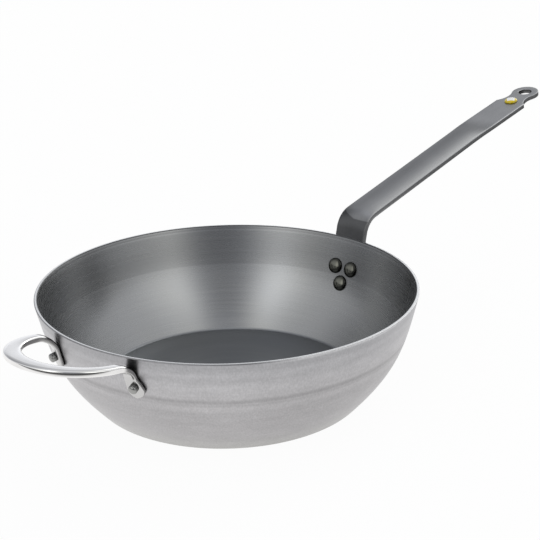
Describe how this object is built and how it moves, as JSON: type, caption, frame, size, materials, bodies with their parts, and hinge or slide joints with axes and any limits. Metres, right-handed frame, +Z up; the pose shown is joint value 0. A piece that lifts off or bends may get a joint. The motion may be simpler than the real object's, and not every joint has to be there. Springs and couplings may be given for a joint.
{
  "type": "saute pan",
  "caption": "Deep round carbon-steel saute pan with flared walls, a long riveted bar handle with a hanging eye and a polished helper loop.",
  "frame": {"origin": "centre of the base's underside, on the pan's axis", "axes": "+X from the pan's axis along the long handle, +Z up out of the pan's mouth, +Y to the left of the long handle"},
  "size_m": [0.6818, 0.3198, 0.1836],
  "materials": {
    "pan_steel": "satin, turned grain",
    "handle_steel": "satin grey",
    "rivet_steel": "dark, glossy",
    "polished_steel": "mirror polished",
    "button_resin": "gloss yellow"
  },
  "bodies": {
    "root": {"pan_body": "pan_steel", "long_handle": "handle_steel", "handle_rivet_upper_left": "rivet_steel", "handle_rivet_upper_right": "rivet_steel", "handle_rivet_lower": "rivet_steel", "helper_handle": "polished_steel", "helper_rivet_left": "rivet_steel", "helper_rivet_right": "rivet_steel", "handle_button": "button_resin"}
  },
  "joints": []
}
